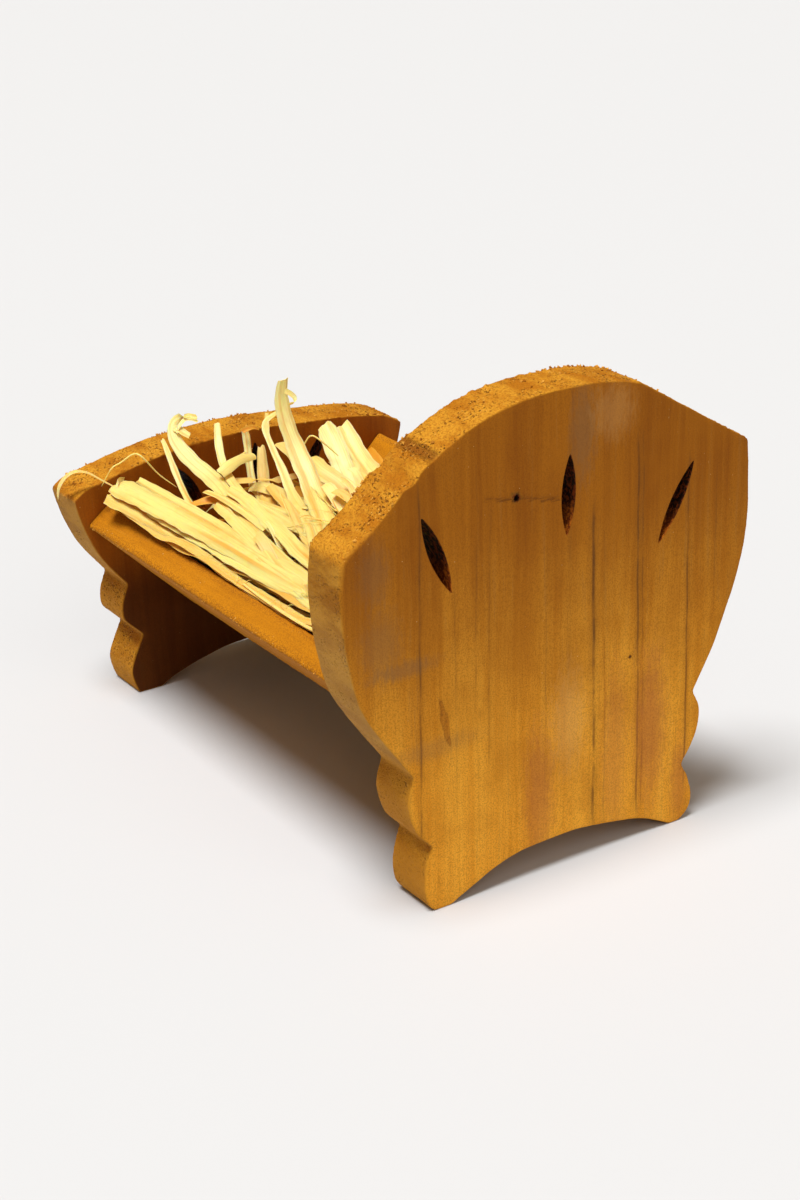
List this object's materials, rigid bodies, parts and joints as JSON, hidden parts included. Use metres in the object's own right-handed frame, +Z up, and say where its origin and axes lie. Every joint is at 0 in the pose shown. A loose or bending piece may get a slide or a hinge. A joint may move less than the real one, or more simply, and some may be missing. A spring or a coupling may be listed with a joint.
{
  "type": "toy manger hay feeder",
  "caption": "Small free-standing wooden manger: two scroll-sawn end boards on scalloped feet hold a V trough of leaning planks filled with loose raffia hay.",
  "frame": {"origin": "on the floor, under the middle of the whole object's box", "axes": "+Z up, +Y along the trough from the tall head board to the low foot board, +X to the right as seen from the head board"},
  "size_m": [0.1588, 0.218, 0.1653],
  "materials": {
    "board_wood": "matte",
    "plank_wood": "matte",
    "dowel_wood": "matte",
    "hay": "satin"
  },
  "bodies": {
    "manger": {"head_board": "board_wood", "foot_board": "board_wood", "left_side_plank": "plank_wood", "right_side_plank": "plank_wood", "trough_floor_slat": "plank_wood", "dowel_head_left_plank_1": "dowel_wood", "dowel_head_left_plank_2": "dowel_wood", "dowel_head_right_plank_1": "dowel_wood", "dowel_head_right_plank_2": "dowel_wood", "dowel_head_floor_1": "dowel_wood", "dowel_head_floor_2": "dowel_wood", "dowel_foot_left_plank_1": "dowel_wood", "dowel_foot_left_plank_2": "dowel_wood", "dowel_foot_right_plank_1": "dowel_wood", "dowel_foot_right_plank_2": "dowel_wood", "dowel_foot_floor_1": "dowel_wood", "dowel_foot_floor_2": "dowel_wood"},
    "hay": {"hay_bed": "hay", "hay_blade_tall": "hay", "hay_blade_tall_short": "hay", "hay_blade_curled": "hay", "hay_blade_thin": "hay", "hay_blade_back_left": "hay", "hay_blade_back_middle": "hay", "hay_blade_back_wide": "hay", "hay_blade_right_inner": "hay", "hay_blade_right_outer": "hay", "hay_blade_along_top": "hay", "hay_blade_along_low": "hay"}
  },
  "joints": [
    {"name": "hay_lift", "type": "slide", "parent": "manger", "child": "hay", "axis": [0, 0, 1], "range_m": [0, 0.125]}
  ]
}
